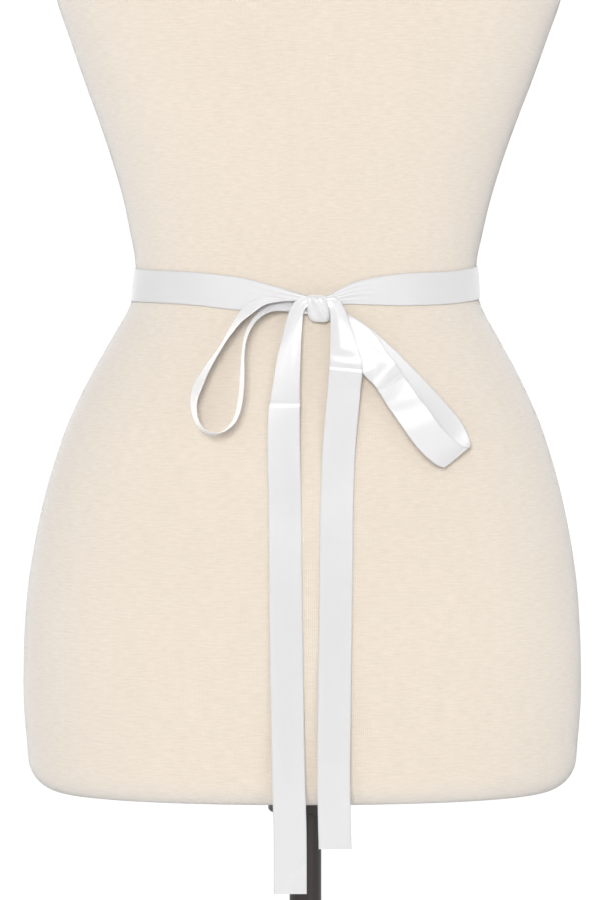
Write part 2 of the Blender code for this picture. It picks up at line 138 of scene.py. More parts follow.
# A soft light: its setting, its place, its width and height, and the rays that it is kept from
SoftLight = namedtuple("SoftLight", "name power place size kept_from", defaults=(None,))
SOFT_LIGHTS = [
    SoftLight("key_light", "key", (-1.15, -2.45, 2.95), (1.4, 1.4)),
    SoftLight("gloss_light", "gloss", (-0.42, -2.5, 2.95), (4.2, 1.2), "visible_diffuse"),
    SoftLight("front_light", "front", (-0.22, -3.3, 1.62), (0.9, 0.9), "visible_glossy"),
    SoftLight("left_fill", "left_fill", (-2.1, -2.6, 1.5), (2.0, 2.0)),
    SoftLight("right_fill", "right_fill", (2.1, -2.6, 1.5), (2.0, 2.0)),
    SoftLight("far_light", "far", (0.3, 3.4, 2.3), (2.4, 1.6)),
]

FormSection = namedtuple("FormSection", "level middle half_width back front squareness")
FORM_SECTIONS = [FormSection(*row) for row in (
    (-0.351, -0.0022, 0.1885, 0.1060, 0.0830, 2.20),
    (-0.317, -0.0022, 0.1912, 0.1088, 0.0860, 2.20),
    (-0.289, -0.0022, 0.1933, 0.1112, 0.0885, 2.20),
    (-0.261, -0.0022, 0.1933, 0.1133, 0.0905, 2.20),
    (-0.233, -0.0022, 0.1922, 0.1140, 0.0920, 2.20),
    (-0.205, -0.0020, 0.1898, 0.1132, 0.0928, 2.20),
    (-0.178, -0.0018, 0.1856, 0.1108, 0.0930, 2.18),
    (-0.150, -0.0016, 0.1798, 0.1075, 0.0925, 2.16),
    (-0.122, -0.0013, 0.1721, 0.1034, 0.0915, 2.15),
    (-0.094, -0.0010, 0.1624, 0.0984, 0.0905, 2.15),
    (-0.066, -0.0006, 0.1493, 0.0922, 0.0895, 2.15),
    (-0.039, -0.0003, 0.1345, 0.0852, 0.0885, 2.15),
    (-0.015, 0.0000, 0.1213, 0.0796, 0.0880, 2.15),
    (0.002, 0.0002, 0.1179, 0.0778, 0.0880, 2.15),
    (0.017, 0.0004, 0.1182, 0.0784, 0.0886, 2.15),
    (0.031, 0.0006, 0.1209, 0.0800, 0.0900, 2.15),
    (0.058, 0.0010, 0.1268, 0.0838, 0.0935, 2.15),
    (0.086, 0.0013, 0.1351, 0.0876, 0.0980, 2.18),
    (0.113, 0.0016, 0.1444, 0.0908, 0.1020, 2.20),
    (0.141, 0.0019, 0.1548, 0.0937, 0.1050, 2.22),
    (0.168, 0.0021, 0.1642, 0.0960, 0.1065, 2.25),
    (0.196, 0.0022, 0.1738, 0.0978, 0.1060, 2.30),
    (0.228, 0.0022, 0.1800, 0.0990, 0.1020, 2.35),
    (0.262, 0.0020, 0.1812, 0.0992, 0.0950, 2.40),
    (0.296, 0.0016, 0.1812, 0.0975, 0.0860, 2.40),
    (0.322, 0.0012, 0.1780, 0.0930, 0.0780, 2.35),
    (0.342, 0.0010, 0.1660, 0.0860, 0.0710, 2.30),
    (0.358, 0.0008, 0.1430, 0.0775, 0.0660, 2.20),
    (0.372, 0.0006, 0.1130, 0.0690, 0.0625, 2.10),
    (0.386, 0.0005, 0.0840, 0.0610, 0.0600, 2.00),
    (0.402, 0.0004, 0.0660, 0.0550, 0.0580, 2.00),
    (0.424, 0.0002, 0.0575, 0.0505, 0.0565, 2.00),
    (0.452, 0.0000, 0.0545, 0.0475, 0.0560, 2.00),
    (0.488, 0.0000, 0.0535, 0.0460, 0.0560, 2.00),
)]

# The ribbon round the waist: degrees round from the middle of the back, and its width
WaistRow = namedtuple("WaistRow", "around level width")
WAIST_ROWS = [
    WaistRow(-180.0, 2.0, 22.0),
    WaistRow(-130.0, 1.4, 22.0),
    WaistRow(-90.0, -0.4, 22.0),
    WaistRow(-50.0, -2.1, 22.0),
    WaistRow(-35.0, -3.6, 22.0),
    WaistRow(-21.0, -6.4, 22.0),
    WaistRow(-13.5, -8.6, 19.5),
    WaistRow(-7.0, -10.6, 16.0),
    WaistRow(-1.5, -11.8, 11.0),
    WaistRow(3.3, -12.0, 7.0),
    WaistRow(6.8, -10.4, 7.0),
    WaistRow(10.0, -8.3, 10.5),
    WaistRow(14.5, -6.2, 15.0),
    WaistRow(21.0, -4.9, 18.5),
    WaistRow(29.0, -4.1, 21.0),
    WaistRow(38.0, -3.4, 22.0),
    WaistRow(53.0, -2.5, 22.0),
    WaistRow(90.0, 1.6, 22.0),
    WaistRow(130.0, 2.2, 22.0),
    WaistRow(180.0, 2.0, 22.0),
]

# A free stretch: the middle of the ribbon seen from behind, how far it stands off the form,
# where its width points as seen from behind, how far that edge tips towards the viewer, how
# wide the ribbon is, and how far its middle bulges
RibbonRow = namedtuple("RibbonRow", "across rise lift lean tip width crown", defaults=(0.0,))
LEFT_LOOP_ROWS = [RibbonRow(*row) for row in (
    (-3.0, 4.0, 6.8, -92.0, 75.0, 4.5),
    (-12.0, 5.6, 6.8, -92.0, 76.0, 5.5),
    (-24.0, 5.8, 7.8, -92.0, 75.0, 9.0),
    (-36.2, 4.6, 10.4, -75.0, 75.0, 16.5),
    (-47.0, -1.3, 11.8, -50.0, 72.0, 21.0),
    (-53.9, -8.4, 12.4, -20.0, 78.0, 22.0),
    (-60.0, -17.5, 12.4, 2.0, 82.0, 22.0),
    (-65.8, -27.0, 12.2, 8.0, 83.5, 22.0),
    (-74.8, -41.0, 11.6, 12.0, 76.0, 22.0),
    (-80.5, -52.0, 11.4, 8.0, 71.0, 22.0),
    (-83.0, -62.5, 11.8, 18.0, 77.0, 22.0),
    (-81.5, -73.5, 12.4, 35.0, 80.0, 22.0),
    (-77.0, -80.5, 12.6, 58.0, 81.5, 22.0),
    (-69.5, -83.5, 12.8, 75.0, 83.0, 22.0),
    (-62.0, -81.0, 12.8, 30.0, 86.5, 22.0),
    (-55.5, -74.0, 12.8, -15.0, 84.0, 22.0),
    (-52.0, -62.0, 12.8, -10.0, 81.5, 22.0),
    (-50.7, -46.0, 12.8, -4.0, 82.0, 22.0),
    (-50.2, -31.5, 12.8, 0.0, 84.5, 22.0),
    (-49.0, -21.5, 12.8, -8.0, 84.5, 22.0),
    (-45.8, -12.5, 12.8, -25.0, 83.5, 21.0),
    (-39.7, -4.4, 12.0, -45.0, 80.0, 18.5),
    (-31.0, 0.9, 9.6, -66.0, 67.0, 13.5),
    (-20.5, 1.4, 7.0, -80.0, 48.0, 9.5),
    (-11.5, 0.0, 5.4, -84.0, 38.0, 8.0),
    (-3.0, -1.4, 5.0, -86.0, 32.0, 6.5),
)]
RIGHT_LOOP_ROWS = [RibbonRow(*row) for row in (
    (3.0, 0.5, 6.6, 62.0, -10.0, 6.0),
    (10.0, -2.5, 6.6, 56.0, -12.0, 8.0),
    (16.5, -8.5, 6.4, 48.0, -16.0, 12.5),
    (28.2, -21.2, 7.4, 42.0, -12.0, 20.0),
    (38.4, -36.9, 9.4, 35.0, -12.0, 22.0),
    (48.2, -48.9, 11.6, 36.0, -27.0, 22.0),
    (57.5, -62.6, 14.2, 37.0, -20.0, 22.0),
    (68.3, -77.9, 16.2, 37.0, -16.0, 22.0),
    (77.8, -89.6, 16.0, 38.0, -16.0, 22.0),
    (86.9, -97.3, 14.2, 38.0, -16.0, 22.0),
    (92.3, -99.4, 10.6, 38.0, -17.0, 22.0),
    (94.3, -97.4, 6.8, 39.0, -20.0, 22.0),
    (92.2, -90.2, 4.2, 40.0, -22.0, 22.0),
    (87.6, -81.2, 2.8, 40.0, -23.0, 22.0),
    (78.0, -70.0, 2.2, 41.0, -22.0, 22.0),
    (69.5, -60.8, 2.2, 42.0, -21.0, 22.0),
    (58.4, -49.4, 2.2, 43.0, -20.0, 22.0),
    (47.0, -37.5, 2.2, 44.0, -18.0, 21.5),
    (33.5, -23.6, 2.4, 46.0, -16.0, 19.0),
    (22.5, -12.6, 2.9, 50.0, -12.0, 14.0),
    (13.0, -6.4, 3.6, 56.0, -10.0, 9.0),
    (4.0, -3.0, 4.2, 60.0, -10.0, 6.0),
)]
LEFT_TAIL_ROWS = [RibbonRow(*row) for row in (
    (-3.0, 5.5, 10.0, -50.0, 0.0, 6.0),
    (-9.0, 5.0, 11.6, -40.0, -4.0, 8.0, 0.3),
    (-13.1, 0.6, 12.2, -24.0, -12.0, 9.0, 0.5),
    (-15.2, -5.2, 11.6, -9.0, -10.0, 10.4, 0.5),
    (-17.5, -18.5, 9.8, 0.0, 12.0, 13.0, 0.4),
    (-19.5, -32.0, 8.8, 1.0, 21.0, 16.7, 0.3),
    (-21.2, -49.0, 8.0, 1.0, 23.0, 19.4, 0.2),
    (-22.6, -63.0, 7.4, 1.0, 19.0, 21.4),
    (-23.0, -81.0, 4.9, 0.0, 13.0, 22.0),
    (-22.8, -101.0, 3.0, 0.0, 7.0, 22.0),
    (-22.2, -127.0, 1.7, 0.0, 1.0, 22.0),
    (-21.6, -193.5, 1.5, 0.0, 0.0, 22.0),
    (-20.7, -260.0, 1.5, 0.0, 0.0, 22.0),
    (-19.7, -314.0, 1.5, 0.0, 0.0, 22.0),
    (-18.8, -347.0, 1.5, 0.0, 0.0, 22.0),
    (-18.6, -390.0, 1.5, 0.0, 0.0, 22.0),
)]
RIGHT_TAIL_ROWS = [RibbonRow(*row) for row in (
    (2.5, 4.0, 9.6, 72.0, 0.0, 6.0),
    (9.2, 5.2, 12.0, 46.0, -3.0, 8.5, 0.3),
    (12.8, -1.0, 13.0, 18.0, -10.0, 10.0, 1.4),
    (14.8, -10.0, 13.0, 8.0, -14.0, 13.4, 1.8),
    (16.9, -24.5, 13.4, 3.0, -12.0, 17.8, 1.5),
    (18.4, -38.5, 14.0, -2.0, -5.0, 22.0, 0.3),
    (17.2, -54.5, 9.6, -1.0, 0.0, 22.0),
    (15.4, -74.5, 5.6, -1.0, 0.0, 22.0),
    (13.8, -94.0, 3.2, -1.0, 0.0, 22.0),
    (12.5, -127.0, 1.8, 0.0, 0.0, 22.0),
    (11.7, -193.5, 1.5, 0.0, 0.0, 22.0),
    (10.8, -260.0, 1.5, 0.0, 0.0, 22.0),
    (10.4, -314.0, 1.5, 0.0, 0.0, 22.0),
    (10.9, -342.0, 1.5, 0.0, 0.0, 22.0),
    (11.4, -360.0, 1.5, 0.0, 0.0, 22.0),
)]

# A fold in the cloth: where it lies along the ribbon and across it (-1 to 1), how far it runs
# each way, how far it stands proud, and its slant in millimetres from edge to edge
Fold = namedtuple("Fold", "along share long wide proud slant")
LEFT_TAIL_FOLDS = [
    Fold(77.8, 0.0, 1.3, 9.0, 0.75, 0.2),
    Fold(78.4, 0.1, 10.0, 9.0, 1.00, 0.6),
    Fold(150.0, -0.2, 20.0, 3.0, 0.90, 4.0),
    Fold(232.0, 0.6, 16.0, 1.4, -0.60, 6.0),
    Fold(300.0, 0.2, 18.0, 3.0, 0.90, 5.0),
    Fold(392.0, 0.3, 1.8, 0.9, 0.55, -8.0),
    Fold(385.0, 0.2, 7.0, 1.2, -1.10, -8.0),
]
RIGHT_TAIL_FOLDS = [
    Fold(54.6, 0.0, 1.3, 9.0, 0.80, 0.6),
    Fold(48.0, 0.1, 5.0, 9.0, -0.60, 0.6),
    Fold(66.0, 0.0, 9.0, 9.0, 0.45, 0.0),
    Fold(130.0, 0.2, 20.0, 3.0, 0.80, -4.0),
    Fold(255.0, -0.5, 18.0, 1.5, -0.55, -5.0),
    Fold(310.0, 0.3, 15.0, 3.0, 0.80, -4.0),
    Fold(352.0, -0.4, 9.0, 1.1, 0.35, -4.0),
]
LEFT_LOOP_FOLDS = [
    Fold(60.0, 0.3, 5.0, 0.8, 0.40, 2.0),
    Fold(86.0, -0.4, 6.0, 0.9, -0.35, -3.0),
]
RIGHT_LOOP_FOLDS = [
    Fold(69.4, 0.0, 1.3, 9.0, 0.90, 0.0),
    Fold(61.5, 0.0, 5.5, 9.0, -1.30, 0.0),
    Fold(44.0, 0.35, 9.0, 0.40, 0.55, 14.0),
    Fold(82.0, 0.1, 8.5, 3.0, 1.60, 4.0),
    Fold(104.0, -0.3, 9.0, 0.9, -0.45, 6.0),
]

# A fold over the knot: where it lies across it (-1 to 1), how wide it is, how far it stands
# proud in millimetres, and how far it slants
KnotFold = namedtuple("KnotFold", "share wide proud slant")
KNOT_FOLDS = [
    KnotFold(0.15, 0.26, 1.3, -0.50),
    KnotFold(-0.34, 0.20, -0.4, -0.45),
    KnotFold(0.70, 0.14, 0.4, -0.40),
]

UNDERSIDE_LEVEL = FORM_SECTIONS[0].level
NECK_TOP_LEVEL = FORM_SECTIONS[-1].level
FORM_LEVELS = [section.level for section in FORM_SECTIONS]


def colour_setting(name, description, default):
    """Setting for a colour."""
    return FloatVectorProperty(name=name, description=description, default=default, size=3,
                               subtype="COLOR", min=0.0, max=1.0)


def power_setting(name, description, default):
    """Setting for a light's power."""
    return FloatProperty(name=name, description=description, default=default, min=0.0,
                         unit="POWER")


class JerseySettings(bpy.types.PropertyGroup):
    """The dress form's knitted cover."""

    colour: colour_setting("Colour", "Colour of the jersey yarn", (0.775, 0.705, 0.618))
    # Painted shade and sheen: greyer, darker colour mixed in where the jersey turns away from the view
    turned_shade_sheen: colour_setting("Bloom", "Colour where the jersey turns away", (0.64, 0.61, 0.585))
    slubs: FloatProperty(
        name="Slubs", description="Strength of the uneven yarn along the rows", default=0.13,
        min=0.0, max=0.3)
    wales: IntProperty(
        name="Wales", description="Columns of knitting round the form", default=700, min=100)
    course: FloatProperty(
        name="Course", description="Height of a row of knitting", default=0.0012, unit="LENGTH")
    relief: FloatProperty(
        name="Relief", description="Strength of the knit's relief", default=0.35, min=0.0, max=1.0)


class SatinSettings(bpy.types.PropertyGroup):
    """The sash's satin ribbon."""

    colour: colour_setting("Colour", "Colour of the satin", (0.735, 0.73, 0.74))
    thickness: FloatProperty(
        name="Thickness", description="Thickness of the ribbon", default=0.00035, unit="LENGTH")
    selvedge: FloatProperty(
        name="Selvedge radius", description="Radius of the woven edge", default=0.00026,
        unit="LENGTH")
    gathers: FloatProperty(
        name="Gathers", description="Gathers across the ribbon where the knot squeezes it",
        default=2.4, min=0.0)
    gather_depth: FloatProperty(
        name="Gather depth", description="Most that a gather stands proud", default=0.0006,
        unit="LENGTH")


class StandSettings(bpy.types.PropertyGroup):
    """The dress form's pole and foot."""

    colour: colour_setting("Colour", "Colour of the painted metal", (0.044, 0.038, 0.035))
    edge: FloatProperty(
        name="Edge", description="Radius of the foot's rounded edge", default=0.002,
        unit="LENGTH")


class StudioSettings(bpy.types.PropertyGroup):
    """The lights and the floor."""

    surround: FloatProperty(
        name="Surround", description="Light from the white surroundings", default=0.36, min=0.0)
    key: power_setting("Key", "Power of the soft light above left", 6.0)
    gloss: power_setting("Gloss", "Power of the light seen only in the satin's gloss", 138.0)
    far: power_setting("Far", "Power of the light on the form's front", 85.0)
    front: power_setting("Front", "Power of the light above the camera", 66.0)
    left_fill: power_setting("Left fill", "Power of the soft light at the left", 2.0)
    right_fill: power_setting("Right fill", "Power of the soft light at the right", 11.0)
    floor_colour: colour_setting("Floor", "Colour of the floor", (0.80, 0.80, 0.79))


# Tables read as smooth curves
def slope(keys, values, row):
    """Slope of a column at a row, taken between the rows on either side of it."""
    before, after = max(row - 1, 0), min(row + 1, len(keys) - 1)
    return (values[after] - values[before]) / (keys[after] - keys[before])


def smooth(keys, values, at):
    """Value of a column at a place between its rows, on a smooth curve through them."""
    row = 0
    while row < len(keys) - 2 and at > keys[row + 1]:
        row += 1
    span = keys[row + 1] - keys[row]
    t = min(max((at - keys[row]) / span, 0.0), 1.0)
    leaving = slope(keys, values, row) * span
    arriving = slope(keys, values, row + 1) * span
    ease = t * t * (3 - 2 * t)
    bulge = t * (1 - t) * (leaving * (1 - t) - arriving * t)
    return values[row] + (values[row + 1] - values[row]) * ease + bulge


def read_row(rows, keys, at):
    """A whole row of a table at a place between its rows."""
    return type(rows[0])(*(smooth(keys, column, at) for column in zip(*rows)))


# The dress form's surface
def form_back(across, level):
    """How far the form's back lies behind the middle plane, at a place seen from behind."""
    section = read_row(FORM_SECTIONS, FORM_LEVELS, level)
    ratio = min(abs(across - section.middle) / section.half_width, SIDE_LIMIT)
    return section.back * (1 - ratio ** section.squareness) ** (1 / section.squareness)


def bust(across, level):
    """Fullness of the bust in front, the same on both sides."""
    height = (level - BUST_LEVEL) / BUST_SPREAD
    sideways = (abs(across) - BUST_APART) / BUST_SPREAD
    return BUST_REACH * math.exp(-height * height - sideways * sideways)


def section_point(section, around, out=0.0, inset=0.0):
    """Point of the form at degrees round from the middle of the back, moved out level."""
    angle = math.radians(around)
    sine, cosine = math.sin(angle), math.cos(angle)
    power = 2 / section.squareness
    depth = section.back if cosine > 0 else section.front
    half_width, depth = section.half_width - inset, depth - inset
    x = math.copysign(half_width * abs(sine) ** power, sine)
    y = -math.copysign(depth * abs(cosine) ** power, cosine)
    if cosine < 0:
        y += bust(x, section.level) * min(1.0, -BUST_FADE * cosine)
    normal = Vector((
        math.copysign(abs(x / half_width) ** (section.squareness - 1) / half_width, sine),
        -math.copysign(abs(y / depth) ** (section.squareness - 1) / depth, cosine),
        0.0)).normalized()
    return Vector((section.middle + x, y, WAIST_HEIGHT + section.level)) + normal * out


def form_point(around, level, out=0.0):
    """Point of the form at a level, degrees round from the middle of the back."""
    return section_point(read_row(FORM_SECTIONS, FORM_LEVELS, level), around, out)


# Meshes
def set_uv(mesh, faces_uv):
    """UV map in metres along the cloth, one pair for each corner of each face."""
    layer = mesh.loops.layers.uv.new(UV_NAME)
    for face, pairs in faces_uv:
        for loop, pair in zip(face.loops, pairs):
            loop[layer].uv = pair


def shade(data, sharp):
    """Shade a mesh smooth but for its corners sharper than this."""
    data.shade_smooth()
    data.set_sharp_from_angle(angle=math.radians(sharp))


def shaded_object(name, mesh, material, sharp=CORNER_ANGLE):
    """Object with this mesh, smooth but for its sharp edges."""
    data = bpy.data.meshes.new(name)
    mesh.to_mesh(data)
    mesh.free()
    data.materials.append(material)
    shade(data, sharp)
    thing = bpy.data.objects.new(name, data)
    bpy.context.scene.collection.objects.link(thing)
    return thing


def applied(thing):
    """The same object with its modifiers made into a plain mesh."""
    evaluated = thing.evaluated_get(bpy.context.evaluated_depsgraph_get())
    plain = bpy.data.meshes.new_from_object(evaluated)
    plain.name = thing.name
    thing.modifiers.clear()
    thing.data = plain
    return thing


def dress(thing, slot, *nodes):
    """Put a finished piece in its CAD node's place on the body."""
    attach(thing, "root")
    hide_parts(*nodes)


def even_ring(section, inset=0.0):
    """Ring of points at even distances round the form, starting at the middle of the front."""
    points = [section_point(section, 180.0 + 360.0 * i / RING_SAMPLES, inset=inset)
              for i in range(RING_SAMPLES + 1)]
    runs = [0.0]
    for before, after in zip(points, points[1:]):
        runs.append(runs[-1] + (after - before).length)
    ring, place = [], 0
    for i in range(FORM_AROUND):
        wanted = runs[-1] * i / FORM_AROUND
        while runs[place + 1] < wanted:
            place += 1
        share = (wanted - runs[place]) / (runs[place + 1] - runs[place])
        ring.append(points[place].lerp(points[place + 1], share))
    return ring


def form_rings():
    """Rings from the form's underside to the top of its neck, rounded at both ends."""
    places = []
    for step in range(ROUNDING_STEPS):
        angle = math.radians(90.0 * step / ROUNDING_STEPS)
        places.append((UNDERSIDE_LEVEL + HEM_ROUNDING * (1 - math.cos(angle)),
                       HEM_ROUNDING * (1 - math.sin(angle))))
    first, last = UNDERSIDE_LEVEL + HEM_ROUNDING, NECK_TOP_LEVEL - NECK_ROUNDING
    steps = math.ceil((last - first) / FORM_STEP)
    places += [(first + (last - first) * i / steps, 0.0) for i in range(steps + 1)]
    for step in range(ROUNDING_STEPS - 1, -1, -1):
        angle = math.radians(90.0 * step / ROUNDING_STEPS)
        places.append((NECK_TOP_LEVEL - NECK_ROUNDING * (1 - math.cos(angle)),
                       NECK_ROUNDING * (1 - math.sin(angle))))
    return [even_ring(read_row(FORM_SECTIONS, FORM_LEVELS, level), inset) for level, inset in places]


def form_mesh():
    """Closed torso with its knit's UV map: one unit round the form, metres up it."""
    mesh = bmesh.new()
    rings = [[mesh.verts.new(point) for point in ring] for ring in form_rings()]
    climbs = [0.0]
    for lower, upper in zip(rings, rings[1:]):
        climbs.append(climbs[-1] + (upper[0].co - lower[0].co).length)
    faces_uv = []
    for row, (lower, upper) in enumerate(zip(rings, rings[1:])):
        low, high = climbs[row], climbs[row + 1]
        for i in range(FORM_AROUND):
            j = (i + 1) % FORM_AROUND
            left, right = i / FORM_AROUND, (i + 1) / FORM_AROUND
            face = mesh.faces.new((lower[i], lower[j], upper[j], upper[i]))
            faces_uv.append((face, ((left, low), (right, low), (right, high), (left, high))))
    for ring, edge, outwards in ((rings[0], climbs[0], -1), (rings[-1], climbs[-1], 1)):
        middle = mesh.verts.new(sum((vert.co for vert in ring), Vector()) / FORM_AROUND)
        reach = (ring[0].co - middle.co).length
        for i in range(FORM_AROUND):
            j = (i + 1) % FORM_AROUND
            left, right = i / FORM_AROUND, (i + 1) / FORM_AROUND
            face = mesh.faces.new((ring[i], ring[j], middle))
            top = edge + outwards * reach
            faces_uv.append((face, ((left, edge), (right, edge), ((left + right) / 2, top))))
    set_uv(mesh, faces_uv)
    bmesh.ops.recalc_face_normals(mesh, faces=mesh.faces)
    return mesh


def turned_mesh(profile, facets):
    """Closed round piece about the Z axis from its outline of (radius, height), bottom to top."""
    mesh = bmesh.new()
    bottom = mesh.verts.new((0.0, 0.0, profile[0][1]))
    top = mesh.verts.new((0.0, 0.0, profile[-1][1]))
    rings = []
    for radius, height in profile:
        angles = [2 * math.pi * i / facets for i in range(facets)]
        rings.append([mesh.verts.new((radius * math.cos(a), radius * math.sin(a), height))
                      for a in angles])
    for i in range(facets):
        j = (i + 1) % facets
        mesh.faces.new((rings[0][j], rings[0][i], bottom))
        mesh.faces.new((rings[-1][i], rings[-1][j], top))
        for lower, upper in zip(rings, rings[1:]):
            mesh.faces.new((lower[i], lower[j], upper[j], upper[i]))
    bmesh.ops.recalc_face_normals(mesh, faces=mesh.faces)
    return mesh


def disc_profile(radius, bottom, top, rounding):
    """Outline of a round plate whose two rims are rounded."""
    flat_edge = radius - rounding - RIM_MARGIN
    profile = [(flat_edge, bottom)]
    for edge, sense in ((bottom + rounding, -1), (top - rounding, 1)):
        for step in range(RIM_STEPS + 1):
            share = step if sense < 0 else RIM_STEPS - step
            angle = math.radians(90.0 * share / RIM_STEPS)
            profile.append((radius - rounding + rounding * math.sin(angle),
                            edge + sense * rounding * math.cos(angle)))
    profile.append((flat_edge, top))
    return profile


# The ribbon's surface
def ribbon_place(row):
    """Middle of a free stretch at a row of its table. Below the fullest level it hangs plumb."""
    across = KNOT_CENTRE.x + row.across * MILLIMETRE
    level = KNOT_CENTRE.z + row.rise * MILLIMETRE
    behind = form_back(across, max(level, FULLEST_LEVEL)) + row.lift * MILLIMETRE
    return Vector((across, -behind, WAIST_HEIGHT + level))


def ribbon_width_direction(row):
    """Which way the ribbon's width points at a row of its table."""
    lean, tip = math.radians(row.lean), math.radians(row.tip)
    return Vector((math.cos(tip) * math.cos(lean), -math.sin(tip), math.cos(tip) * math.sin(lean)))


def ribbon_keys(rows):
    """Distance along a free stretch to each row of its table."""
    keys = [0.0]
    for before, after in zip(rows, rows[1:]):
        keys.append(keys[-1] + (ribbon_place(after) - ribbon_place(before)).length)
    return keys


def gather(share, width, settings, depth):
    """Soft gathers that take up the width where the knot squeezes the ribbon."""
    spare = max(0.0, 1 - width / FULL_WIDTH)
    place = share + GATHER_SHIFT + GATHER_SPREAD * share * share
    wave = math.cos(math.pi * settings.gathers * place)
    return settings.gather_depth * depth * spare * wave


def span(width, settings):
    """Width of the cloth between the middles of its two woven edges, in metres."""
    return width * MILLIMETRE - 2 * settings.selvedge


def fold_height(folds, along, share):
    """How far the folds lift the cloth at a place along and across it, in metres."""
    height = 0.0
    for fold in folds:
        away = (along / MILLIMETRE - fold.along - fold.slant * share) / fold.long
        aside = (share - fold.share) / fold.wide
        height += fold.proud * math.exp(-away * away - aside * aside)
    return height * MILLIMETRE


def ribbon_lines(rows, folds, gathering, settings):
    """Lines of points across a free stretch, and the distance along it of each."""
    keys = ribbon_keys(rows)
    steps = math.ceil(keys[-1] / RIBBON_STEP)
    runs = [keys[-1] * i / steps for i in range(steps + 1)]
    stations = [read_row(rows, keys, run) for run in runs]
    places = [ribbon_place(row) for row in stations]
    lines = []
    for i, (row, place) in enumerate(zip(stations, places)):
        along = (places[min(i + 1, steps)] - places[max(i - 1, 0)]).normalized()
        width = ribbon_width_direction(row)
        outward = width.cross(along).normalized()
        line = []
        for j in range(POINTS_ACROSS):
            share = 2 * j / (POINTS_ACROSS - 1) - 1
            proud = row.crown * (1 - share * share) * MILLIMETRE
            proud += gather(share, row.width, settings, gathering)
            proud += fold_height(folds, runs[i], share)
            line.append(place + width * (share * span(row.width, settings) / 2) + outward * proud)
        lines.append(line)
    return lines, runs


def waist_lines(settings):
    """Lines of points across the ribbon round the waist, from the knot round to the knot."""
    keys = [row.around for row in WAIST_ROWS]
    lines, runs, centre = [], [0.0], POINTS_ACROSS // 2
    for i in range(WAIST_STEPS + 1):
        around = KNOT_ANGLE + 360.0 * i / WAIST_STEPS
        around = around - 360.0 if around > 180.0 else around
        row = read_row(WAIST_ROWS, keys, around)
        half = span(row.width, settings) / 2
        low = form_point(around, row.level * MILLIMETRE - half, WAIST_STAND_OFF)
        high = form_point(around, row.level * MILLIMETRE + half, WAIST_STAND_OFF)
        middle = form_point(around, row.level * MILLIMETRE, WAIST_STAND_OFF)
        out = form_point(around, row.level * MILLIMETRE, 2 * WAIST_STAND_OFF) - middle
        out.normalize()
        line = []
        for j in range(POINTS_ACROSS):
            share = 2 * j / (POINTS_ACROSS - 1) - 1
            proud = abs(gather(share, row.width, settings, WAIST_GATHERING))
            line.append(low.lerp(high, (share + 1) / 2) + out * proud)
        lines.append(line)
        if i:
            runs.append(runs[-1] + (line[centre] - lines[i - 1][centre]).length)
    return lines, runs


def cloth_face(name, lines, runs, material):
    """Open face of ribbon with a UV map in metres and its woven edges marked."""
    mesh = bmesh.new()
    rows = [[mesh.verts.new(point) for point in line] for line in lines]
    mark = mesh.edges.layers.bool.new(EDGE_MARK)
    half = FULL_WIDTH / 2 * MILLIMETRE
    faces_uv = []
    for i in range(len(rows) - 1):
        for j in range(POINTS_ACROSS - 1):
            face = mesh.faces.new((rows[i][j], rows[i][j + 1], rows[i + 1][j + 1], rows[i + 1][j]))
            shares = [2 * k / (POINTS_ACROSS - 1) - 1 for k in (j, j + 1, j + 1, j)]
            places = [runs[i], runs[i], runs[i + 1], runs[i + 1]]
            faces_uv.append((face, [(p, s * half) for p, s in zip(places, shares)]))
    set_uv(mesh, faces_uv)
    for side in (0, POINTS_ACROSS - 1):
        for i in range(len(rows) - 1):
            mesh.edges.get((rows[i][side], rows[i + 1][side]))[mark] = True
    return shaded_object(name, mesh, material)


# Nodes
def set_inputs(node, inputs):
    """Set a node's named inputs to values, or link them to a socket or a list of sockets."""
    for name, value in inputs.items():
        if isinstance(value, (bpy.types.NodeSocket, list)):
            for socket in value if isinstance(value, list) else [value]:
                node.id_data.links.new(socket, node.inputs[name])
        else:
            node.inputs[name].default_value = value


def add_node(tree, kind, inputs=None, **options):
    """New node with its options and its inputs."""
    node = tree.nodes.new(kind)
    for option, value in options.items():
        setattr(node, option, value)
    set_inputs(node, inputs or {})
    return node


def add_sockets(tree, side, **kinds):
    """Named inputs or outputs of a node group, each with its kind."""
    for name, kind in kinds.items():
        tree.interface.new_socket(name.replace("_", " "), in_out=side,
                                  socket_type="NodeSocket" + kind)


def math_node(tree, operation, *values):
    """Result of a sum on numbers or sockets."""
    node = add_node(tree, "ShaderNodeMath", operation=operation)
    set_inputs(node, dict(enumerate(values)))
    return node.outputs[0]


def scaled(tree, vector, gain):
    """A colour or a direction times a number."""
    node = add_node(tree, "ShaderNodeVectorMath", operation="SCALE")
    set_inputs(node, {0: vector, "Scale": gain})
    return node.outputs["Vector"]


# The ribbon's thickness and woven edges
def socket_id(tree, name):
    """Identifier of a node group's named input."""
    for item in tree.interface.items_tree:
        if item.item_type == "SOCKET" and item.in_out == "INPUT" and item.name == name:
            return item.identifier
    raise KeyError(name)


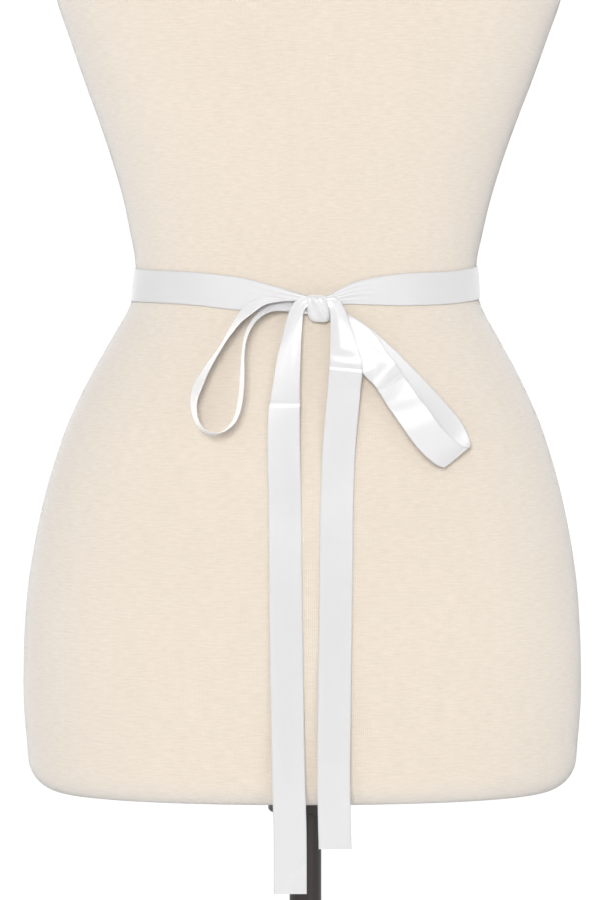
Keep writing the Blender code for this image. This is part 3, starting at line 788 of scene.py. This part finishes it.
def ribbon_tree():
    """Geometry nodes that give an open cloth face its thickness and a cord along its selvedges."""
    tree = bpy.data.node_groups.new("Ribbon cloth", "GeometryNodeTree")
    tree.is_modifier = True
    add_sockets(tree, "INPUT", Geometry="Geometry", Thickness="Float", Selvedge_radius="Float",
                Selvedge_mark="String", Satin="Material")
    add_sockets(tree, "OUTPUT", Geometry="Geometry")
    given = add_node(tree, "NodeGroupInput").outputs

    normal = add_node(tree, "GeometryNodeInputNormal").outputs["Normal"]
    inwards = scaled(tree, normal, math_node(tree, "MULTIPLY", given["Thickness"], -0.5))
    back = add_node(tree, "GeometryNodeSetPosition",
                    {"Geometry": given["Geometry"], "Offset": inwards}).outputs["Geometry"]
    thick = add_node(tree, "GeometryNodeExtrudeMesh",
                     {"Mesh": back, "Offset Scale": given["Thickness"], "Individual": False},
                     mode="FACES").outputs["Mesh"]
    turned = add_node(tree, "GeometryNodeFlipFaces", {"Mesh": back}).outputs["Mesh"]
    both = add_node(tree, "GeometryNodeJoinGeometry", {"Geometry": [thick, turned]})
    closed = add_node(tree, "GeometryNodeMergeByDistance",
                      {"Geometry": both.outputs["Geometry"], "Distance": WELD_DISTANCE})

    mark = add_node(tree, "GeometryNodeInputNamedAttribute", {"Name": given["Selvedge mark"]},
                    data_type="BOOLEAN").outputs["Attribute"]
    edges = add_node(tree, "GeometryNodeMeshToCurve",
                     {"Mesh": given["Geometry"], "Selection": mark}).outputs["Curve"]
    section = add_node(tree, "GeometryNodeCurvePrimitiveCircle",
                       {"Resolution": CORD_SIDES, "Radius": given["Selvedge radius"]})
    cords = add_node(tree, "GeometryNodeCurveToMesh",
                     {"Curve": edges, "Profile Curve": section.outputs["Curve"],
                      "Fill Caps": True}).outputs["Mesh"]

    whole = add_node(tree, "GeometryNodeJoinGeometry",
                     {"Geometry": [cords, closed.outputs["Geometry"]]}).outputs["Geometry"]
    real = add_node(tree, "GeometryNodeRealizeInstances", {"Geometry": whole}).outputs["Geometry"]
    finish = add_node(tree, "GeometryNodeSetMaterial", {"Geometry": real, "Material": given["Satin"]})
    add_node(tree, "NodeGroupOutput", {"Geometry": finish.outputs["Geometry"]})
    return tree


def finished_ribbon(thing, material, settings):
    """Give a cloth face its thickness and selvedges, as a plain mesh."""
    tree = bpy.data.node_groups.get("Ribbon cloth") or ribbon_tree()
    weave = thing.modifiers.new("Ribbon cloth", "NODES")
    weave.node_group = tree
    weave[socket_id(tree, "Thickness")] = settings.thickness
    weave[socket_id(tree, "Selvedge radius")] = settings.selvedge
    weave[socket_id(tree, "Selvedge mark")] = EDGE_MARK
    weave[socket_id(tree, "Satin")] = material
    shade(applied(thing).data, RIBBON_CORNER_ANGLE)
    return thing


# Materials
def new_material(name):
    """Material with its node tree and its one shader."""
    material = bpy.data.materials.new(name)
    material.use_nodes = True
    return material, material.node_tree, material.node_tree.nodes["Principled BSDF"]


def noise_node(tree, place, scale, detail, roughness=0.5):
    """Noise from 0 to 1 at a place."""
    return add_node(tree, "ShaderNodeTexNoise", {"Vector": place, "Scale": scale, "Detail": detail,
                                                 "Roughness": roughness}).outputs["Fac"]


def range_node(tree, value, low, high):
    """Spread a mask from 0 to 1 over another range."""
    return add_node(tree, "ShaderNodeMapRange",
                    {"Value": value, "To Min": low, "To Max": high}).outputs["Result"]


def uneven_tone_group():
    """Shader group: a colour made softly uneven, as cloth and paint are."""
    name = "Uneven tone"
    if name in bpy.data.node_groups:
        return bpy.data.node_groups[name]
    tree = bpy.data.node_groups.new(name, "ShaderNodeTree")
    add_sockets(tree, "INPUT", Colour="Color", Scale="Float", Strength="Float")
    add_sockets(tree, "OUTPUT", Colour="Color", Mask="Float")
    given = add_node(tree, "NodeGroupInput").outputs
    place = add_node(tree, "ShaderNodeTexCoord").outputs["Object"]
    mask = noise_node(tree, place, given["Scale"], detail=4.0)
    offset = math_node(tree, "SUBTRACT", mask, 0.5)
    amount = math_node(tree, "MULTIPLY", offset, given["Strength"])
    gain = math_node(tree, "ADD", amount, 1.0)
    add_node(tree, "NodeGroupOutput",
             {"Colour": scaled(tree, given["Colour"], gain), "Mask": mask})
    return tree


def uneven_tone(tree, colour, scale, strength):
    """The uneven colour and its mask, from a plain colour or a socket."""
    if not isinstance(colour, bpy.types.NodeSocket):
        colour = (*colour, 1.0)
    node = add_node(tree, "ShaderNodeGroup", node_tree=uneven_tone_group())
    set_inputs(node, {"Colour": colour, "Scale": scale, "Strength": strength})
    return node.outputs["Colour"], node.outputs["Mask"]


def cloth_place(tree):
    """Along and across sockets of the cloth's own UV map."""
    uv = add_node(tree, "ShaderNodeUVMap", uv_map=UV_NAME).outputs["UV"]
    split = add_node(tree, "ShaderNodeSeparateXYZ", {"Vector": uv})
    return split.outputs["X"], split.outputs["Y"]


def stretched_place(tree, along, across, along_waves, across_waves):
    """Place for a noise that is drawn out along the cloth or across it."""
    return add_node(tree, "ShaderNodeCombineXYZ",
                    {"X": math_node(tree, "MULTIPLY", along, along_waves),
                     "Y": math_node(tree, "MULTIPLY", across, across_waves)}).outputs["Vector"]


def bump(tree, height, strength, distance):
    """Relief from a height."""
    return add_node(tree, "ShaderNodeBump", {"Height": height, "Strength": strength,
                                             "Distance": distance}).outputs["Normal"]


def mixed_colour(tree, share, first, second):
    """Colour between two others, by a share from 0 to 1."""
    node = add_node(tree, "ShaderNodeMix", {"Factor": share}, data_type="RGBA")
    for name, colour in (("A", first), ("B", second)):
        socket = next(item for item in node.inputs if item.name == name and item.type == "RGBA")
        socket.default_value = (*colour, 1.0)
    return next(item for item in node.outputs if item.type == "RGBA")


def jersey_material(settings):
    """Cream knitted jersey: columns of V stitches with painted shade in their hollows, slubs along the
    rows, and painted shade and sheen where it turns away from the view.
    """
    material, tree, shader = new_material("cream_jersey_knit")
    around, up = cloth_place(tree)
    turn = 2 * math.pi
    wale = math_node(tree, "MULTIPLY", around, settings.wales)
    middle = math_node(tree, "SUBTRACT", math_node(tree, "FRACT", wale), 0.5)
    rib = math_node(tree, "COSINE", math_node(tree, "MULTIPLY", wale, turn))
    course = math_node(tree, "DIVIDE", up, settings.course)
    arm = math_node(tree, "MULTIPLY", math_node(tree, "ABSOLUTE", middle), STITCH_LEAN)
    stitch = math_node(tree, "ADD", course, arm)
    loop = math_node(tree, "SINE", math_node(tree, "MULTIPLY", stitch, turn))
    height = math_node(tree, "ADD", math_node(tree, "MULTIPLY", rib, RIB_HEIGHT),
                       math_node(tree, "MULTIPLY", loop, STITCH_HEIGHT))
    rows = stretched_place(tree, around, up, SLUBS_AROUND, SLUBS_UP)
    slub_noise = noise_node(tree, rows, scale=1.0, detail=5.0, roughness=0.62)
    slubs = range_node(tree, slub_noise, low=-1.0, high=1.0)
    # Painted shade and sheen: the colour goes greyer and darker where the surface turns away from the
    # view
    turned_shade_sheen = add_node(tree, "ShaderNodeLayerWeight", {"Blend": TURNED_SHADE_SHEEN_BLEND}).outputs["Facing"]
    yarn = mixed_colour(tree, turned_shade_sheen, settings.colour, settings.turned_shade_sheen)
    tone, _ = uneven_tone(tree, yarn, scale=7.0, strength=0.05)
    # Painted shade and light: darker in the knit's hollows, lighter on its raised stitches, then the
    # slubs' uneven yarn
    gain = math_node(tree, "ADD", math_node(tree, "MULTIPLY", height, KNIT_HOLLOW_PAINTED_SHADE), 1.0)
    slub_and_painted_shade_gain = math_node(tree, "ADD", gain, math_node(tree, "MULTIPLY", slubs, settings.slubs))
    relief = math_node(tree, "ADD", height, math_node(tree, "MULTIPLY", slubs, SLUB_HEIGHT))
    set_inputs(shader, {
        "Base Color": scaled(tree, tone, slub_and_painted_shade_gain), "Roughness": 0.92, "Diffuse Roughness": 1.0,
        "Specular IOR Level": 0.25, "Sheen Weight": 0.5, "Sheen Roughness": 0.4,
        "Normal": bump(tree, relief, settings.relief, KNIT_DEPTH)})
    return material


def satin_material(settings):
    """White satin: fine lengthwise threads that soften its gloss along the ribbon."""
    name = "white_satin_weave"
    if name in bpy.data.materials:
        return bpy.data.materials[name]
    material, tree, shader = new_material(name)
    along, across = cloth_place(tree)
    place = stretched_place(tree, along, across, THREADS_ALONG, THREADS_ACROSS)
    threads = noise_node(tree, place, scale=1.0, detail=3.0)
    tone, _ = uneven_tone(tree, settings.colour, scale=55.0, strength=0.02)
    gain = range_node(tree, threads, low=0.985, high=1.015)
    set_inputs(shader, {
        "Base Color": scaled(tree, tone, gain),
        "Roughness": range_node(tree, threads, low=0.30, high=0.40), "Diffuse Roughness": 1.0,
        "Specular IOR Level": 0.9, "Subsurface Weight": 0.35, "Subsurface Radius": (1.0, 1.0, 1.0),
        "Subsurface Scale": 0.0012, "Sheen Weight": 1.0, "Sheen Roughness": 0.5,
        "Normal": bump(tree, threads, strength=0.25, distance=0.00006)})
    return material


def painted_metal_material(settings):
    """Dark satin paint with a faint orange peel."""
    material, tree, shader = new_material("dark_painted_metal")
    place = add_node(tree, "ShaderNodeTexCoord").outputs["Object"]
    tone, mask = uneven_tone(tree, settings.colour, scale=22.0, strength=0.5)
    peel = noise_node(tree, place, scale=900.0, detail=2.0)
    set_inputs(shader, {
        "Base Color": tone, "Roughness": range_node(tree, mask, low=0.26, high=0.42),
        "Metallic": 0.3, "Normal": bump(tree, peel, strength=0.12, distance=0.0001)})
    return material


# Operators
class SASH_OT_dress_form(bpy.types.Operator):
    """Make the torso in its jersey cover"""

    bl_idname = "sash.dress_form"
    bl_label = "Dress form"

    def execute(self, context):
        torso = shaded_object("torso_jersey", form_mesh(), jersey_material(context.scene.sash_jersey))
        dress(torso, "cream_jersey", "dress_form")
        return {"FINISHED"}


class SASH_OT_stand(bpy.types.Operator):
    """Make the hub, the pole and the round foot"""

    bl_idname = "sash.stand"
    bl_label = "Stand"

    def execute(self, context):
        settings = context.scene.sash_stand
        paint = painted_metal_material(settings)
        for name, node, rounding, facets in (
                ("hub_collar", "form_hub", HUB_ROUNDING, HUB_FACETS),
                ("pole_tube", "stand_pole", POLE_ROUNDING, POLE_FACETS),
                ("foot_plate", "stand_base", settings.edge, FOOT_FACETS)):
            low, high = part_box(node)
            profile = disc_profile((high.x - low.x) / 2, low.z, high.z, rounding)
            thing = shaded_object(name, turned_mesh(profile, facets), paint)
            dress(thing, "dark_metal", node)
        return {"FINISHED"}


class SASH_OT_waist_ribbon(bpy.types.Operator):
    """Make the ribbon round the waist"""

    bl_idname = "sash.waist_ribbon"
    bl_label = "Waist ribbon"

    def execute(self, context):
        settings = context.scene.sash_satin
        satin = satin_material(settings)
        lines, runs = waist_lines(settings)
        band = finished_ribbon(cloth_face("waist_ribbon", lines, runs, satin), satin, settings)
        dress(band, "white_satin", "waist_left", "waist_right", "waist_front")
        return {"FINISHED"}


class SASH_OT_bow(bpy.types.Operator):
    """Make the bow's loops and tails"""

    bl_idname = "sash.bow"
    bl_label = "Bow loops and tails"

    def execute(self, context):
        settings = context.scene.sash_satin
        satin = satin_material(settings)
        for name, node, rows, folds, gathering in (
                ("left_loop_ribbon", "bow_loop_left", LEFT_LOOP_ROWS, LEFT_LOOP_FOLDS,
                 LOOP_GATHERING),
                ("right_loop_ribbon", "bow_loop_right", RIGHT_LOOP_ROWS, RIGHT_LOOP_FOLDS,
                 LOOP_GATHERING),
                ("left_tail_ribbon", "tail_left", LEFT_TAIL_ROWS, LEFT_TAIL_FOLDS,
                 TAIL_GATHERING),
                ("right_tail_ribbon", "tail_right", RIGHT_TAIL_ROWS, RIGHT_TAIL_FOLDS,
                 TAIL_GATHERING)):
            lines, runs = ribbon_lines(rows, folds, gathering, settings)
            stretch = finished_ribbon(cloth_face(name, lines, runs, satin), satin, settings)
            dress(stretch, "white_satin", node)
        return {"FINISHED"}


def boxy(value, power):
    """Sine or cosine drawn out towards a square."""
    return math.copysign(abs(value) ** power, value)


def knot_point(wrap, polar):
    """Point of the knot: degrees of wrap over its front, and from its left end to its right."""
    girth = boxy(math.sin(polar), KNOT_SQUARE)
    share = -boxy(math.cos(polar), KNOT_SQUARE)
    front, up = boxy(math.sin(wrap), KNOT_FRONT_SQUARE), boxy(math.cos(wrap), KNOT_SQUARE)
    proud = 0.0
    for fold in KNOT_FOLDS:
        away = (share - fold.share - fold.slant * up * girth) / fold.wide
        proud += fold.proud * math.exp(-away * away)
    half = KNOT_HALF_SIZE
    x = half.x * share + KNOT_SHEAR * half.z * up * girth
    y = -(half.y * front + proud * MILLIMETRE * max(front, 0.0)) * girth
    z = half.z * up * girth
    lean = math.radians(KNOT_TURN)
    behind = form_back(KNOT_CENTRE.x, KNOT_CENTRE.z) + KNOT_LIFT
    return Vector((KNOT_CENTRE.x + x * math.cos(lean) + z * math.sin(lean), y - behind,
                   WAIST_HEIGHT + KNOT_CENTRE.z - x * math.sin(lean) + z * math.cos(lean)))


def knot_mesh():
    """The knot's wrap: a folded band over the bow's middle, closed at its left and right ends."""
    mesh = bmesh.new()
    half = KNOT_HALF_SIZE
    girth = math.pi * (half.y + half.z)
    rings = []
    for i in range(1, KNOT_ACROSS):
        polar = math.pi * i / KNOT_ACROSS
        rings.append([mesh.verts.new(knot_point(2 * math.pi * j / KNOT_AROUND, polar))
                      for j in range(KNOT_AROUND)])
    ends = [mesh.verts.new(knot_point(0.0, polar)) for polar in (0.0, math.pi)]
    faces_uv = []
    for i, (ring, following) in enumerate(zip(rings, rings[1:])):
        low, high = (half.x * (2 * (i + k) / KNOT_ACROSS - 1) for k in (1, 2))
        for j in range(KNOT_AROUND):
            k = (j + 1) % KNOT_AROUND
            face = mesh.faces.new((ring[j], ring[k], following[k], following[j]))
            start, stop = girth * j / KNOT_AROUND, girth * (j + 1) / KNOT_AROUND
            faces_uv.append((face, ((start, low), (stop, low), (stop, high), (start, high))))
    for ring, end, side in ((rings[0], ends[0], -half.x), (rings[-1], ends[1], half.x)):
        for j in range(KNOT_AROUND):
            face = mesh.faces.new((ring[j], ring[(j + 1) % KNOT_AROUND], end))
            start, stop = girth * j / KNOT_AROUND, girth * (j + 1) / KNOT_AROUND
            faces_uv.append((face, ((start, side), (stop, side), ((start + stop) / 2, side))))
    set_uv(mesh, faces_uv)
    bmesh.ops.recalc_face_normals(mesh, faces=mesh.faces)
    return mesh


class SASH_OT_knot(bpy.types.Operator):
    """Make the knot's wrap"""

    bl_idname = "sash.knot"
    bl_label = "Knot"

    def execute(self, context):
        satin = satin_material(context.scene.sash_satin)
        wrap = shaded_object("knot_wrap", knot_mesh(), satin, ALL_SMOOTH)
        dress(wrap, "white_satin", "bow_knot")
        return {"FINISHED"}


class SASH_OT_studio(bpy.types.Operator):
    """Make the floor, the lights and the camera"""

    bl_idname = "sash.studio"
    bl_label = "Studio"

    def execute(self, context):
        settings = context.scene.sash_studio
        floor_material, tree, shader = new_material("pale_floor")
        tone, _ = uneven_tone(tree, settings.floor_colour, scale=1.5, strength=0.03)
        set_inputs(shader, {"Base Color": tone, "Roughness": 0.8})
        profile = [(FLOOR_RADIUS, -FLOOR_THICKNESS), (FLOOR_RADIUS, 0.0)]
        floor = shaded_object("floor", turned_mesh(profile, FLOOR_FACETS), floor_material)
        white_surround(context.scene, settings.surround)
        for light in SOFT_LIGHTS:
            add_soft_light(light, getattr(settings, light.power))
        add_camera(context.scene)
        return {"FINISHED"}


def white_surround(scene, strength):
    """White surroundings: they read as paper white behind the form, and light it softly."""
    world = bpy.data.worlds.new("white_surround")
    scene.world = world
    world.use_nodes = True
    tree = world.node_tree
    rays = add_node(tree, "ShaderNodeLightPath").outputs
    mirrored = range_node(tree, rays["Is Glossy Ray"], strength, MIRRORED_WHITE)
    seen = math_node(tree, "MULTIPLY", rays["Is Camera Ray"], SEEN_WHITE)
    set_inputs(tree.nodes["Background"], {
        "Color": (1.0, 1.0, 1.0, 1.0), "Strength": math_node(tree, "MAXIMUM", seen, mirrored)})


def add_soft_light(light, power):
    """Soft light aimed at the waist."""
    area = bpy.data.lights.new(light.name, "AREA")
    area.shape = "RECTANGLE"
    area.size, area.size_y = light.size
    area.energy = power
    lamp = bpy.data.objects.new(light.name, area)
    bpy.context.scene.collection.objects.link(lamp)
    lamp.location = light.place
    aim = Vector((0.0, 0.0, WAIST_HEIGHT)) - Vector(light.place)
    lamp.rotation_euler = aim.to_track_quat("-Z", "Y").to_euler()
    if light.kept_from:
        setattr(lamp, light.kept_from, False)


def add_camera(scene):
    """Camera behind the form at waist height, looking slightly down."""
    camera = bpy.data.cameras.new("camera")
    camera.sensor_fit = "VERTICAL"
    camera.sensor_height = CAMERA_SENSOR
    camera.lens = CAMERA_LENS
    stand = bpy.data.objects.new("camera", camera)
    scene.collection.objects.link(stand)
    stand.location = CAMERA_PLACE
    stand.rotation_euler = (math.radians(90.0 - CAMERA_TILT_DOWN), 0.0, 0.0)
    scene.camera = stand
    scene.view_settings.view_transform = "Standard"


class SASH_PT_sash_belt(bpy.types.Panel):
    """Lists the pieces and their settings"""

    bl_label = "Sash Belt"
    bl_idname = "SASH_PT_sash_belt"
    bl_space_type = "VIEW_3D"
    bl_region_type = "UI"
    bl_category = "Sash Belt"

    def draw(self, context):
        scene = context.scene
        for title, settings, operators in PANEL_ROWS:
            box = self.layout.box()
            box.label(text=title)
            group = getattr(scene, settings)
            for name in group.bl_rna.properties.keys():
                if name not in ("rna_type", "name"):
                    box.prop(group, name)
            for operator in operators:
                box.operator(operator)


SETTINGS = (
    ("sash_jersey", JerseySettings),
    ("sash_stand", StandSettings),
    ("sash_satin", SatinSettings),
    ("sash_studio", StudioSettings),
)
PANEL_ROWS = (
    ("Dress form", "sash_jersey", ("sash.dress_form",)),
    ("Stand", "sash_stand", ("sash.stand",)),
    ("Ribbon", "sash_satin", ("sash.waist_ribbon", "sash.bow", "sash.knot")),
    ("Studio", "sash_studio", ("sash.studio",)),
)
CLASSES = (
    *(group for attribute, group in SETTINGS),
    SASH_OT_dress_form,
    SASH_OT_stand,
    SASH_OT_waist_ribbon,
    SASH_OT_bow,
    SASH_OT_knot,
    SASH_OT_studio,
    SASH_PT_sash_belt,
)


def register():
    """Register the classes and hang their settings on the scene."""
    for kind in CLASSES:
        bpy.utils.register_class(kind)
    for attribute, group in SETTINGS:
        setattr(bpy.types.Scene, attribute, PointerProperty(type=group))


def unregister():
    """Take the settings and the classes away again."""
    for attribute, group in SETTINGS:
        delattr(bpy.types.Scene, attribute)
    for kind in reversed(CLASSES):
        bpy.utils.unregister_class(kind)


def main():
    """Build the whole scene, one operator after the other."""
    register()
    bpy.ops.sash.dress_form()
    bpy.ops.sash.stand()
    bpy.ops.sash.waist_ribbon()
    bpy.ops.sash.bow()
    bpy.ops.sash.knot()
    bpy.ops.sash.studio()


if __name__ == "__main__":
    main()
